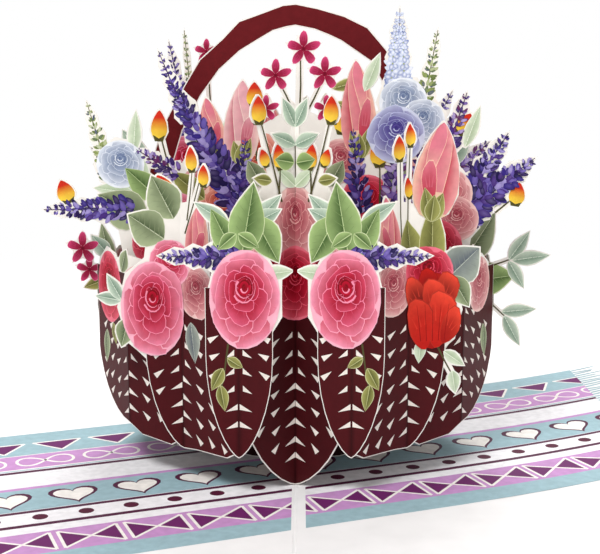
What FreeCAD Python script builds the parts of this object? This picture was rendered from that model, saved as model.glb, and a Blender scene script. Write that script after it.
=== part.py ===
import FreeCAD, Part

import math
import os

os.makedirs("parts", exist_ok=True)

# Paper and glue
SHEET = 0.4             # thickness of the die-cut printed sheets
COVER = 0.6             # thickness of the folded card that carries them
GLUE = 0.1              # glue line between a sheet's end and the face that it is stuck to

# The card, open: the fold runs front to back at x = 0
HALF_WIDTH = 150.0      # from the fold to either outer edge
CARD_DEPTH = 200.0      # along the fold
FLAT_PART = 48.0        # the right half lies flat this far, then curls up
CURL_RISE = 6.0         # how far its outer edge has lifted
SCORE_WIDTH = 1.2       # the scored groove at the fold
SCORE_DEPTH = 0.25

# The basket in plan, left front quarter: creases of the sheets, and the side where it meets the handle sheet
CREASE_0 = (0.0, -38.5)
CREASE_1 = (-16.2, -50.0)
CREASE_2 = (-33.7, -33.7)
CREASE_3 = (-51.8, -21.5)
SIDE = (-64.3, 0.0)
WING_1_OUT = 162.8      # directions in plan, in degrees from +X
WING_1_IN = 12.1
WING_2_OUT = 166.5
MIDDLE_GAP = 0.6        # between the two front sheets where their inner wings meet at x = 0

# The basket in height
RIM = 62.0              # where the basket's weave ends and the flowers begin
PETAL_WIDE = 42.0       # height at which a petal-shaped wing reaches its full width
TIP_1 = 12.4            # bottom tips of the three kinds of petal
TIP_2 = 10.4
TIP_3 = 15.0
WALL_2_FOOT = 11.3      # feet of the plain walls between creases
WALL_3_FOOT = 10.6
WING_1 = 10.0           # petal half-widths
WING_2 = 11.8
CENTRE_WIDE = 34.0      # height at which the centre petal is widest
WALL_RISE = 2.5         # how far a plain wall's bottom edge rises again at its inner end
WING_REACH = 40.0       # length of sheet cut for a wing, which the die-cut outline then shortens

# The sheets that stand across the fold inside the basket
ROW_OFFSET = 14.0       # the two rows of flowers stand this far in front of and behind the handle sheet
ROW_HALF = 52.0         # half-width of their basket-shaped lower part
ROW_FOOT = 10.0         # height of its bottom edge at the sides
HANDLE_HALF = 64.7      # the same for the handle sheet, which reaches the side creases
HANDLE_FOOT = 9.0
LEG_OUT = 47.0          # the handle's legs where they leave the basket
LEG_IN = 40.0
HANDLE_TOP = 144.4
HANDLE_BAND = 6.8       # width of the band at its top
HANDLE_SPRING = 92.0    # height at which the legs start to lean in

ROW_REACH = 100.0       # the same for each side of a sheet that stands across the fold
ROW_SHOULDER = 14.0     # a row sheet is widest this far below the rim

ARC_STEPS = 8           # straight steps in a petal's curved side


def along(point, angle, distance):
    """The plan point at a distance from another in a direction."""
    turn = math.radians(angle)
    return (point[0] + distance * math.cos(turn), point[1] + distance * math.sin(turn))


def heading(start, end):
    """Direction in plan from one point to another, in degrees."""
    return math.degrees(math.atan2(end[1] - start[1], end[0] - start[0]))


def spread(start, end):
    return math.hypot(end[0] - start[0], end[1] - start[1])


def stop_short(angle):
    """How far before a crease a sheet ends when it meets the sheet there at an angle."""
    return (SHEET + GLUE) / math.sin(math.radians(abs(angle)))


def mirrored(motifs):
    """The motifs of a sheet as its mirror image has them."""
    flipped = []
    for kind, u, z, *rest in motifs:
        if kind == "stem":
            flipped.append((kind, -u, z, -rest[0], rest[1], rest[2]))
        elif kind in ("bloom", "star"):
            flipped.append((kind, -u, z, *rest))
        else:
            flipped.append((kind, -u, z, rest[0], rest[1], 180 - rest[2]))
    return flipped


def both_sides(motifs):
    return motifs + mirrored(motifs)


# Outlines of the printed motifs, as cut with their narrow white border

def bloom(u, z, radius, tall=1.0):
    """A rose or other full flower: a round or tall oval with shallow lobes."""
    points = []
    for step in range(18):
        turn = math.radians(20 * step)
        reach = radius * (1.0 if step % 2 else 0.93)
        points.append((u + reach * math.cos(turn), z + reach * tall * math.sin(turn)))
    return points


def star(u, z, radius):
    points = []
    for step in range(10):
        turn = math.radians(90 + 36 * step)
        reach = radius * (1.0 if step % 2 == 0 else 0.55)
        points.append((u + reach * math.cos(turn), z + reach * math.sin(turn)))
    return points


def placed(u, z, angle, outline):
    """An outline drawn along +u from the origin, turned and moved to its place."""
    turn = math.radians(angle)
    return [
        (u + a * math.cos(turn) - b * math.sin(turn), z + a * math.sin(turn) + b * math.cos(turn))
        for a, b in outline
    ]


def leaf(u, z, length, width, angle):
    along = (0.07, 0.2, 0.38, 0.56, 0.74, 0.9)
    upper = [(length * f, width / 2 * math.sin(math.pi * f ** 0.8)) for f in along]
    lower = [(a, -b) for a, b in reversed(upper)]
    return placed(u, z, angle, [(0, 0.5), *upper, (length, 0), *lower, (0, -0.5)])


def spike(u, z, length, width, angle):
    """A flower spike: whorls that narrow to the tip."""
    upper = []
    for step in range(9):
        part = step / 9
        swell = 1.0 if step % 2 else 0.68
        upper.append((length * part, width / 2 * swell * (1 - 0.75 * part ** 2)))
    lower = [(a, -b) for a, b in reversed(upper)]
    return placed(u, z, angle, [*upper, (length, 0), *lower])


def bud(u, z, length, width, angle):
    upper = [(length * f, width / 2 * math.sin(math.pi * f ** 0.7) ** 0.7) for f in (0.1, 0.3, 0.6, 0.85)]
    lower = [(a, -b) for a, b in reversed(upper)]
    return placed(u, z, angle, [(0, 0.6), *upper, (length, 0.4), (length, -0.4), *lower, (0, -0.6)])


def stem(u, z, u_end, z_end, width):
    angle = math.degrees(math.atan2(z_end - z, u_end - u))
    length = math.hypot(u_end - u, z_end - z)
    return placed(u, z, angle, [(0, width / 2), (length, width / 2), (length, -width / 2), (0, -width / 2)])


OUTLINES = {"bloom": bloom, "star": star, "leaf": leaf, "spike": spike, "bud": bud, "stem": stem}

# Where the motifs are on each sheet: (kind, u from the crease, height, size, ...), all in millimetres

CENTRE_MOTIFS = [
    ("bloom", 0, 80, 9.5, 1.3), ("bloom", 0, 62, 10.5, 1.2), ("stem", 0, 80, 0, 110, 3.0),
] + both_sides([
    ("bloom", 7, 72, 7.5, 1.5), ("leaf", 0.5, 97, 7.5, 6, 10), ("bud", 5.2, 95, 8, 5.4, 80),
    ("leaf", 0, 102, 9.5, 5, 22), ("leaf", 0, 107, 10, 5, 62), ("stem", 6, 84, 12.5, 110, 2.2),
    ("bud", 12.6, 108, 8.5, 6, 88), ("leaf", 8, 92, 7, 4, 10), ("bud", 10, 96, 6, 4.4, 70),
])
SHEET_1_MOTIFS = [
    ("bloom", 1.8, 59, 11.7, 1.38), ("leaf", 1, 71, 22, 11, 80), ("leaf", -0.5, 71, 16, 8.5, 118),
    ("leaf", 4.5, 83, 16, 10, -62), ("leaf", 3, 80, 11, 6, 25), ("leaf", 3, 79, 14, 6, 45),
    ("leaf", -2, 80, 13, 5.5, 150), ("leaf", -3, 78, 9, 5.5, -120), ("spike", 1, 71, 26, 10, 181),
    ("leaf", 7, 66, 9.5, 5, 5), ("leaf", 8, 67, 11, 4.6, -68), ("stem", -3, 46, -5.5, 31, 2.2),
    ("leaf", -4.5, 39, 8.5, 4.6, -118), ("leaf", -5.5, 34, 8.5, 4.6, -80), ("leaf", -3.5, 42, 6, 4, -30),
    ("bloom", 1, 74, 6),
]
SHEET_2_LEFT_MOTIFS = [
    ("bloom", -9, 53, 11.6, 1.4), ("bloom", 6.5, 59, 9), ("bloom", -3, 67, 8),
    ("leaf", -5, 74, 14, 12.5, 148),
    ("leaf", -2, 80, 15, 12, 118), ("bud", 6, 66, 20, 11, 82), ("stem", 2, 76, 9.5, 94, 2.2),
    ("bud", 10.2, 90, 7, 5.6, 88), ("bud", 5.5, 94, 8, 6, 95), ("stem", 3, 80, 5.8, 96, 2.0),
    ("leaf", -17, 50, 10, 7, -105), ("leaf", -19, 55, 9, 4.6, 172), ("leaf", -19, 55, 9.5, 4.8, 120),
    ("bud", -3, 86, 8.5, 6.5, 120), ("leaf", 4, 50, 13, 7, -82),
]
SHEET_2_RIGHT_MOTIFS = [
    ("bloom", 7.5, 52.5, 9.6, 1.45), ("bloom", 6, 64, 9), ("bloom", -7, 60, 9.5),
    ("bud", 6.4, 79, 30, 15.5, 83),
    ("leaf", 7, 62, 24, 9, 90), ("leaf", 1, 66, 15, 9, 100),
    ("bud", -5, 97, 8, 6, 92), ("stem", -3, 66, -4.8, 99, 2.2), ("bud", -7, 66, 22, 10, 100),
    ("leaf", 12, 62, 14, 13, 42), ("leaf", 13, 63, 12, 8, -58), ("stem", 9, 42, 15, 31, 2.4),
    ("leaf", 11, 40, 9, 4.4, -35), ("leaf", 4, 44, 8, 4.6, -95), ("leaf", 14, 34, 8, 5, -80),
    ("stem", -1, 70, -0.5, 104, 2.0), ("bud", -0.4, 86, 7, 4.6, 100), ("bud", -0.5, 101, 7.5, 5, 92),
]
SHEET_3_LEFT_MOTIFS = [
    ("bloom", -14, 56, 11, 1.18), ("bloom", 5, 58, 8), ("leaf", -4, 62, 9, 7, 60),
    ("leaf", -17, 42, 12, 6, -96),
    ("leaf", -12, 45, 8, 5, -70),
]
SHEET_3_RIGHT_MOTIFS = [
    ("bloom", 12, 57, 10), ("leaf", -4, 60, 11, 9, 100), ("leaf", 3, 60, 11, 9, 70),
    ("leaf", 16, 44, 12, 6, -80),
    ("bloom", -6, 58, 7),
]
FRONT_ROW_MOTIFS = [
    ("spike", -50, 81, 29, 10.5, 180), ("leaf", -46, 77, 18, 13.5, 150), ("leaf", -42, 84, 15, 9, 137),
    ("leaf", -50, 86, 13, 6, 172), ("leaf", -48, 87, 13, 6, 140), ("leaf", -47, 88, 12, 6, 100),
    ("bloom", -54, 95, 8.5), ("spike", -57, 90, 26, 7.5, 106), ("bud", -70, 83, 8, 6.5, 110),
    ("bud", -42, 102, 10, 6, 88), ("stem", -38, 88, -42, 106, 2.4), ("spike", -18, 84, 42, 14, 119),
    ("spike", -36, 92, 16, 8, 150), ("spike", -33, 108, 24, 7, 112), ("leaf", -50, 98, 14, 5, 85),
    ("bud", -17, 94, 27, 12, 88), ("bud", -24, 96, 20, 9, 100), ("stem", -12, 96, -12.5, 116, 2.2),
    ("bud", -12.5, 112, 8.5, 6, 90), ("star", -6, 122, 5.6), ("star", 2.5, 130, 6),
    ("star", 9, 122.5, 5.8),
    ("star", -9, 112, 4.6), ("star", 9.5, 112, 4.6), ("stem", 1, 104, 1.5, 134, 2.4),
    ("stem", 0, 110, -6, 122, 1.8), ("stem", 2, 108, 9, 122, 1.8),
    ("leaf", 11, 118, 12, 4.4, 15), ("leaf", 12, 114, 10, 4.2, -25), ("bud", 20, 96, 31, 12, 93),
    ("bud", 14, 104, 9, 6, 85), ("bloom", 31, 104, 10), ("bloom", 33, 114, 8.5), ("bloom", 39, 108, 8),
    ("spike", 31, 108, 35, 11, 89), ("spike", 38, 106, 31, 7.5, 80), ("leaf", 21, 117, 13, 5, 68),
    ("spike", 45, 94, 25, 9.5, 72), ("spike", 47, 76, 35, 15, 38), ("spike", 50, 80, 30, 12, 58),
    ("bloom", 47, 86, 9), ("stem", 62, 80, 69, 86, 2.2), ("bud", 68, 82, 8, 6, 80),
    ("leaf", 52, 100, 14, 5, 70),
    ("leaf", -30, 96, 15, 6, 75), ("bloom", 50, 78, 8), ("leaf", -24, 100, 13, 6, 60),
    ("leaf", 24, 100, 16, 6, 115), ("bud", 50, 104, 8, 6, 60),
]
HANDLE_MOTIFS = [
    ("leaf", 56, 56, 16, 11.5, 8), ("leaf", 54, 62, 20, 11, 58), ("stem", 60, 60, 74, 65, 2.0),
    ("leaf", 69, 63, 12, 5.2, 55), ("leaf", 70, 63, 13, 5.4, 8), ("leaf", 69, 63, 11, 5, -60),
    ("stem", 60, 52, 70, 43, 2.0), ("leaf", 67, 46, 12, 5, 5), ("leaf", 68, 45, 12, 5, -62),
    ("star", -69, 67, 6), ("star", -67, 60, 5), ("leaf", -60, 64, 10, 6, 130),
    ("leaf", -61, 57, 9, 5, 200),
    ("leaf", -60, 60, 16, 6, 100),
]
BACK_ROW_MOTIFS = [
    ("spike", -34, 98, 37, 8, 102), ("spike", -33, 98, 40, 5, 95), ("stem", -28, 96, -29, 130, 1.8),
    ("star", -29.2, 130, 4.6), ("bloom", -36, 94, 10), ("bloom", -20, 92, 10),
    ("bud", -8, 92, 22, 12, 92),
    ("bloom", 8, 92, 11), ("bud", 20, 92, 24, 11, 85), ("spike", 30, 92, 38, 10, 82),
    ("spike", 36, 88, 34, 10, 62),
    ("spike", 42, 82, 30, 11, 40), ("spike", -44, 82, 30, 11, 145), ("bloom", 46, 84, 9),
    ("bloom", -47, 84, 9),
    ("leaf", 50, 92, 15, 8, 60), ("leaf", -50, 92, 15, 8, 120), ("leaf", 51, 78, 19, 9, 10),
    ("leaf", -51, 78, 19, 9, 170),
]

# White card behind the motifs, above the rim
CENTRE_BACKING = [(-15, 55), (-14, 86), (-8, 98), (0, 104), (8, 98), (14, 86), (15, 55)]
SHEET_1_BACKING = [(-7, 50), (-7, 76), (0, 84), (7, 76), (7, 50)]
SHEET_2_BACKING = [(-11, 55), (-12, 66), (-11, 73), (-5, 84), (6, 86), (12, 80), (13, 55)]
SHEET_3_BACKING = [(-20, 50), (-16, 64), (0, 68), (12, 66), (16, 50)]
ROW_BACKING = [
    (-52, 55), (-55, 74), (-56, 84), (-48, 90), (-38, 90), (-33, 99), (-14, 105), (0, 113), (14, 107),
    (30, 112), (44, 104),
    (54, 90), (55, 74), (52, 55),
]
BACK_ROW_BACKING = [
    (-50, 55), (-54, 78), (-44, 94), (-20, 98), (0, 104), (20, 98), (44, 94), (54, 78), (50, 55),
]


def petal_side(half_width, tip, wide, pointed=1.35):
    """One side of a petal, from its bottom tip up to its full width."""
    points = []
    for step in range(1, ARC_STEPS + 1):
        turn = math.pi / 2 * step / ARC_STEPS
        points.append((half_width * math.sin(turn) ** pointed, wide - (wide - tip) * math.cos(turn)))
    return points


def petal(left_side, right_side, tip, top=RIM):
    """A closed outline from the sides of a petal, each running up from the tip."""
    left = [(-u, z) for u, z in left_side]
    return [(0, tip), *right_side, (right_side[-1][0], top), (left[-1][0], top), *reversed(left)]


def wall_side(reach, tip, foot):
    """A plain wall's bottom edge: from the crease's end out to the foot of the wall."""
    return [(reach * 0.25, tip + (foot - tip) * 0.7), (reach * 0.8, foot), (reach, foot + WALL_RISE)]


def basket_outline(half, foot, tip):
    """A basket-shaped lower part that stands on the card at the fold."""
    side = petal_side(half, tip, RIM - ROW_SHOULDER, 0.8)
    return petal(side, side, tip)


def slab_of(points):
    """An outline as a thick slab, which a sheet's own thickness is then cut from."""
    corners = [FreeCAD.Vector(u, -4 * SHEET, z) for u, z in points]
    return Part.Face(Part.makePolygon(corners + corners[:1])).extrude(FreeCAD.Vector(0, 8 * SHEET, 0))


def outline_slab(base, backing, motifs, ring=None):
    """One slab: the basket part, the white card behind the flowers and every motif, joined."""
    scale = RIM / 62        # the motifs and the white card are laid out for a rim at 62 mm
    laid_out = [backing] if backing else []
    laid_out += [OUTLINES[kind](*numbers) for kind, *numbers in motifs]
    pieces = [slab_of([(u * scale, z * scale) for u, z in points]) for points in laid_out]
    if ring:
        pieces.append(slab_of(ring))
    joined = slab_of(base).multiFuse(pieces).removeSplitter()
    solids = sorted(joined.Solids, key=lambda s: s.Volume)
    if len(solids) > 1:
        loose = [(round(s.CenterOfMass.x), round(s.CenterOfMass.z)) for s in solids[:-1]]
        print("loose in an outline:", loose)
    return solids[-1]


def half_sheet(slab, crease, angle, mitre, reach, is_left):
    """The part of a creased sheet on one side of its crease, as a solid in its own plane."""
    toward = FreeCAD.Vector(math.cos(math.radians(angle)), math.sin(math.radians(angle)), 0)
    normal = FreeCAD.Vector(-toward.y, toward.x, 0)
    side = 1 if normal.dot(mitre) > 0 else -1
    lean = SHEET / 2 / abs(normal.dot(mitre))
    root = FreeCAD.Vector(crease[0], crease[1], -1)
    end = root + toward * reach
    plan = [
        root + mitre * lean, end + normal * (side * SHEET / 2),
        end - normal * (side * SHEET / 2), root - mitre * lean,
    ]
    blank = Part.Face(Part.makePolygon(plan + plan[:1])).extrude(FreeCAD.Vector(0, 0, HANDLE_TOP + 20))
    outline = slab.copy()
    outline.rotate(FreeCAD.Vector(0, 0, 0), FreeCAD.Vector(0, 0, 1), angle - (180 if is_left else 0))
    outline.translate(FreeCAD.Vector(crease[0], crease[1], 0))
    return blank.common(outline)


def creased_sheet(slab, crease, left_angle, left_reach, right_angle, right_reach):
    """A sheet folded on one upright crease, with a mitred fold."""
    left = FreeCAD.Vector(math.cos(math.radians(left_angle)), math.sin(math.radians(left_angle)), 0)
    right = FreeCAD.Vector(math.cos(math.radians(right_angle)), math.sin(math.radians(right_angle)), 0)
    mitre = left + right
    if mitre.Length < 1e-6:
        mitre = FreeCAD.Vector(-right.y, right.x, 0)
    mitre.normalize()
    halves = [
        half_sheet(slab, crease, left_angle, mitre, left_reach, True),
        half_sheet(slab, crease, right_angle, mitre, right_reach, False),
    ]
    return halves[0].fuse(halves[1]).removeSplitter()


def save(shape, node):
    solid = shape.Solids[0] if len(shape.Solids) == 1 else shape
    state = f"{len(shape.Solids)} solid, valid {shape.isValid()}"
    print(f"{node}: {state}, {shape.Volume:.0f} mm3, {len(shape.Edges)} edges")
    solid.exportStep(f"parts/{node}.step")


def make_card():
    """The folded card, open: a flat left half, a score at the fold, and a right half that curls up."""
    run = HALF_WIDTH - FLAT_PART
    radius = (run ** 2 + CURL_RISE ** 2) / (2 * CURL_RISE)
    half_turn = math.asin(run / radius) / 2
    full_turn = 2 * half_turn

    def on_arc(turn, height):
        reach = radius - height
        return FreeCAD.Vector(FLAT_PART + reach * math.sin(turn), 0, radius - reach * math.cos(turn))

    low = [FreeCAD.Vector(-HALF_WIDTH, 0, 0), FreeCAD.Vector(FLAT_PART, 0, 0)]
    high = [
        FreeCAD.Vector(FLAT_PART, 0, COVER), FreeCAD.Vector(SCORE_WIDTH / 2, 0, COVER),
        FreeCAD.Vector(0, 0, COVER - SCORE_DEPTH), FreeCAD.Vector(-SCORE_WIDTH / 2, 0, COVER),
        FreeCAD.Vector(-HALF_WIDTH, 0, COVER), low[0],
    ]
    edges = [
        Part.LineSegment(low[0], low[1]).toShape(),
        Part.Arc(on_arc(0, 0), on_arc(half_turn, 0), on_arc(full_turn, 0)).toShape(),
        Part.LineSegment(on_arc(full_turn, 0), on_arc(full_turn, COVER)).toShape(),
        Part.Arc(on_arc(full_turn, COVER), on_arc(half_turn, COVER), on_arc(0, COVER)).toShape(),
    ]
    edges += [Part.LineSegment(a, b).toShape() for a, b in zip(high, high[1:])]
    profile = Part.Face(Part.Wire(Part.__sortEdges__(edges)))
    profile.translate(FreeCAD.Vector(0, -CARD_DEPTH / 2, 0))
    return profile.extrude(FreeCAD.Vector(0, CARD_DEPTH, 0))


def centre_sheet():
    """The sheet over the fold, a valley between the two halves, standing on the card by its tip."""
    angle = heading(CREASE_0, CREASE_1)
    reach = spread(CREASE_0, CREASE_1) - stop_short(heading(CREASE_1, CREASE_0) - WING_1_IN)
    side = petal_side(reach * 1.05, COVER, CENTRE_WIDE)
    slab = outline_slab(petal(side, side, COVER), CENTRE_BACKING, CENTRE_MOTIFS)
    return creased_sheet(slab, CREASE_0, angle, reach, 180 - angle, reach)


def sheet_1():
    """The front petal with the rose, creased down its middle, that covers the ends of two walls."""
    side = petal_side(WING_1, TIP_1, PETAL_WIDE)
    slab = outline_slab(petal(side, side, TIP_1), SHEET_1_BACKING, SHEET_1_MOTIFS)
    inner = (-CREASE_1[0] - MIDDLE_GAP / 2) / math.cos(math.radians(WING_1_IN)) - SHEET
    return creased_sheet(slab, CREASE_1, WING_1_OUT, WING_REACH, WING_1_IN, inner)


def sheet_2(motifs):
    """A petal wing outside its crease and a plain wall inside, which runs to the next crease."""
    inward = heading(CREASE_2, CREASE_1)
    reach = spread(CREASE_2, CREASE_1) - stop_short(heading(CREASE_1, CREASE_2) - WING_1_OUT)
    wing = petal_side(WING_2, TIP_2, PETAL_WIDE)
    outline = petal(wing, wall_side(reach * 1.05, TIP_2, WALL_2_FOOT), TIP_2)
    slab = outline_slab(outline, SHEET_2_BACKING, motifs)
    return creased_sheet(slab, CREASE_2, WING_2_OUT, WING_REACH, inward, reach)


def sheet_3(motifs):
    """The side sheet, from the next crease round to the handle sheet."""
    inward = heading(CREASE_3, CREASE_2)
    reach = spread(CREASE_3, CREASE_2) - stop_short(heading(CREASE_2, CREASE_3) - WING_2_OUT)
    outward = heading(CREASE_3, SIDE)
    lean = math.radians(180 - outward)
    seat = (SHEET / 2 * (1 + math.cos(lean)) + GLUE) / math.sin(lean)
    out_reach = spread(CREASE_3, SIDE) - seat
    outline = petal(
        petal_side(out_reach * 1.04, TIP_3, PETAL_WIDE, 1.0),
        wall_side(reach * 1.05, TIP_3, WALL_3_FOOT),
        TIP_3,
    )
    slab = outline_slab(outline, SHEET_3_BACKING, motifs)
    return creased_sheet(slab, CREASE_3, outward, out_reach, inward, reach)


def handle_outline():
    """The handle's band with its slightly uneven edges, as one ring from leg to leg."""
    rise = HANDLE_TOP - HANDLE_SPRING
    foot = RIM * 0.65
    outer = [
        (-1.02, None), (-1, 0), (-0.915, 0.25), (-0.777, 0.477), (-0.649, 0.668), (-0.494, 0.792),
        (-0.383, 0.897),
        (-0.223, 0.947), (-0.085, 0.992), (0, 1), (0.149, 0.973), (0.33, 0.928), (0.489, 0.859),
        (0.606, 0.733),
        (0.745, 0.553), (0.872, 0.305), (1, 0), (1.02, None),
    ]
    inner = [
        (1.02, None), (1, 0), (0.875, 0.284), (0.725, 0.547), (0.6, 0.754), (0.35, 0.899),
        (0.15, 0.974), (0, 1),
        (-0.175, 0.965), (-0.437, 0.829), (-0.6, 0.702), (-0.75, 0.526), (-0.9, 0.285), (-1, 0),
        (-1.02, None),
    ]
    outer = [(x * LEG_OUT, foot if h is None else HANDLE_SPRING + h * rise) for x, h in outer]
    rise -= HANDLE_BAND
    inner = [(x * LEG_IN, foot if h is None else HANDLE_SPRING + h * rise) for x, h in inner]
    return outer + inner


def row_sheet(y, half, foot, backing, motifs, ring=None):
    """A sheet that stands across the fold, creased over it, with its foot on the card."""
    slab = outline_slab(basket_outline(half, foot, COVER), backing, motifs, ring)
    return creased_sheet(slab, (0, y), 180, ROW_REACH, 0, ROW_REACH)


def mirror_x(shape):
    return shape.mirror(FreeCAD.Vector(0, 0, 0), FreeCAD.Vector(1, 0, 0))


def turned(shape):
    """The same sheet on the back of the basket."""
    copy = shape.copy()
    copy.rotate(FreeCAD.Vector(0, 0, 0), FreeCAD.Vector(0, 0, 1), 180)
    return copy


save(make_card(), "card")

centre = centre_sheet()
save(centre, "front_centre_sheet")
save(turned(centre), "back_centre_sheet")

rose = sheet_1()
second_left = sheet_2(SHEET_2_LEFT_MOTIFS)
second_right = mirror_x(sheet_2(mirrored(SHEET_2_RIGHT_MOTIFS)))
third_left = sheet_3(SHEET_3_LEFT_MOTIFS)
third_right = mirror_x(sheet_3(mirrored(SHEET_3_RIGHT_MOTIFS)))
for number, left, right in [
    ("1", rose, mirror_x(rose)), ("2", second_left, second_right), ("3", third_left, third_right),
]:
    save(left, f"front_left_sheet_{number}")
    save(right, f"front_right_sheet_{number}")
    save(turned(right), f"back_left_sheet_{number}")
    save(turned(left), f"back_right_sheet_{number}")

save(row_sheet(-ROW_OFFSET, ROW_HALF, ROW_FOOT, ROW_BACKING, FRONT_ROW_MOTIFS), "front_row_sheet")
save(row_sheet(0, HANDLE_HALF, HANDLE_FOOT, None, HANDLE_MOTIFS, handle_outline()), "handle_sheet")
save(row_sheet(ROW_OFFSET, ROW_HALF, ROW_FOOT, BACK_ROW_BACKING, BACK_ROW_MOTIFS), "back_row_sheet")
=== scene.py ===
import math
import random

import bpy
import numpy as np
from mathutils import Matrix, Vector


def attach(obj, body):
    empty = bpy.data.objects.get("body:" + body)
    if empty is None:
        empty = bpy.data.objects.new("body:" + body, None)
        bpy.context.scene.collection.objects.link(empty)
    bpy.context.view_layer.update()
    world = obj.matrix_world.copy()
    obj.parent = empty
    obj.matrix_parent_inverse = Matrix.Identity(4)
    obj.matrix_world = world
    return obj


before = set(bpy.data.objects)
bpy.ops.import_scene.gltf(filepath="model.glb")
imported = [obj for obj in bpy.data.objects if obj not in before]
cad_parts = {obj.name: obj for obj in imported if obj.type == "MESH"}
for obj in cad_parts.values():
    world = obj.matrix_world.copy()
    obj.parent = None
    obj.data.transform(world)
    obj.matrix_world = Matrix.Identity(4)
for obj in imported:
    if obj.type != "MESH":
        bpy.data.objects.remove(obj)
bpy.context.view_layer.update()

MM = 0.001
SHEET = 0.4
COVER = 0.6
LIFT = 0.02             # the print's height over the paper, and each further coat's over the last
COAT = 0.003
PROUD = 0.45            # the most that a print's coats may add up to

FLAT_PART = 48.0
CURL_RADIUS = ((150 - FLAT_PART) ** 2 + 6.0 ** 2) / 12.0

CREASE_0 = (0.0, -38.5)
CREASE_1 = (-16.2, -50.0)
CREASE_2 = (-33.7, -33.7)
CREASE_3 = (-51.8, -21.5)
SIDE = (-64.3, 0.0)
RIM = 62.0
PETAL_WIDE = 42.0


def rgb(text):
    """A colour given as six hex digits, in the renderer's own linear values."""
    out = []
    for i in (0, 2, 4):
        c = int(text[i:i + 2], 16) / 255
        out.append(c / 12.92 if c <= 0.04045 else ((c + 0.055) / 1.055) ** 2.4)
    return tuple(out)


def mix(a, b, t):
    return tuple(x + (y - x) * t for x, y in zip(a, b))


MAROON = rgb("4e1116")
# painted shade: a dark maroon mixed into the basket's panels where they lie in shade
MAROON_SHADE = rgb("200507")
HANDLE = rgb("66171c")
WHITE = rgb("f4efe9")
CREAM = rgb("efe6dc")
BARK = rgb("4a3328")


# Drawing: every print is a list of flat convex patches with a colour at each corner

class Ink:
    """The print on one face. A patch goes over the earlier ones that it touches."""

    def __init__(self):
        self.patches = []
        self.boxes = np.zeros((20000, 4))
        self.levels = np.zeros(20000)

    def level_for(self, points):
        us = [p[0] for p in points]
        zs = [p[1] for p in points]
        box = (min(us), min(zs), max(us), max(zs))
        n = self.count
        b = self.boxes[:n]
        touch = (b[:, 0] < box[2]) & (b[:, 2] > box[0]) & (b[:, 1] < box[3]) & (b[:, 3] > box[1])
        level = 1 + (self.levels[:n][touch].max() if touch.any() else 0)
        self.boxes[n] = box
        self.levels[n] = level
        self.count += 1
        return level

    count = 0

    def fan(self, middle, ring, inner, outer):
        """A rounded patch: one colour in the middle, one or several round its edge."""
        level = self.level_for(ring)
        shades = outer if isinstance(outer, list) else [outer] * len(ring)
        for i in range(len(ring)):
            j = (i + 1) % len(ring)
            self.patches.append(([middle, ring[i], ring[j]], [inner, shades[i], shades[j]], level))

    def strip(self, left, right, shade_left, shade_right):
        """A band between two lines with equally many points."""
        level = self.level_for(left + right)
        for i in range(len(left) - 1):
            corners = [left[i], left[i + 1], right[i + 1], right[i]]
            self.patches.append((corners, [shade_left, shade_left, shade_right, shade_right], level))


def placed(u, z, angle, outline):
    c, s = math.cos(math.radians(angle)), math.sin(math.radians(angle))
    return [(u + a * c - b * s, z + a * s + b * c) for a, b in outline]


def oval(u, z, long, wide, angle, steps=14, squeeze=0.0):
    points = []
    for i in range(steps):
        t = 2 * math.pi * i / steps
        points.append((long / 2 * math.cos(t), wide / 2 * math.sin(t) * (1 - squeeze * math.cos(t))))
    return placed(u, z, angle, points)


def line(ink, points, width, shade, end_width=None):
    """A stroke along points that narrows to its end width."""
    end_width = width if end_width is None else end_width
    left, right = [], []
    for i, (u, z) in enumerate(points):
        before = points[max(i - 1, 0)]
        after = points[min(i + 1, len(points) - 1)]
        du, dz = after[0] - before[0], after[1] - before[1]
        size = math.hypot(du, dz) or 1
        w = (width + (end_width - width) * i / (len(points) - 1)) / 2
        left.append((u - dz / size * w, z + du / size * w))
        right.append((u + dz / size * w, z - du / size * w))
    ink.strip(left, right, shade, shade)


def arc(u, z, radius, start, end, steps=7, flat=1.0):
    return [
        (u + radius * math.cos(math.radians(start + (end - start) * i / steps)),
         z + radius * flat * math.sin(math.radians(start + (end - start) * i / steps)))
        for i in range(steps + 1)
    ]


def petal_blob(ink, u, z, angle, length, width, base, edge, rim):
    """One petal from its base at (u, z): dark where it starts, light towards its lip, with a pale rim."""
    steps = 14
    ring, shades = [], []
    for i in range(steps):
        t = 2 * math.pi * i / steps
        far = (1 + math.cos(t)) / 2
        wobble = 1 + 0.05 * math.sin(3 * t + angle)
        ring.append((length * far * wobble, width / 2 * math.sin(t) * (0.55 + 0.45 * far) * wobble))
        shades.append(mix(base, edge, far ** 1.6))
    back = [(a * 1.035 - 0.01 * length, b * 1.06) for a, b in ring]
    ink.fan(placed(u, z, angle, [(length * 0.5, 0)])[0], placed(u, z, angle, back), rim, rim)
    middle = placed(u, z, angle, [(length * 0.62, 0)])[0]
    ink.fan(middle, placed(u, z, angle, ring), mix(base, edge, 0.22), shades)
    if length > 4.5:
        for tilt in (-0.28, 0.0, 0.28):
            crease = placed(u, z, angle, [(length * 0.45, tilt * width * 0.45), (length * 0.7, tilt * width * 0.8), (length * 0.9, tilt * width)])
            line(ink, crease, length * 0.035, mix(base, edge, 0.55), 0.05)


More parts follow.
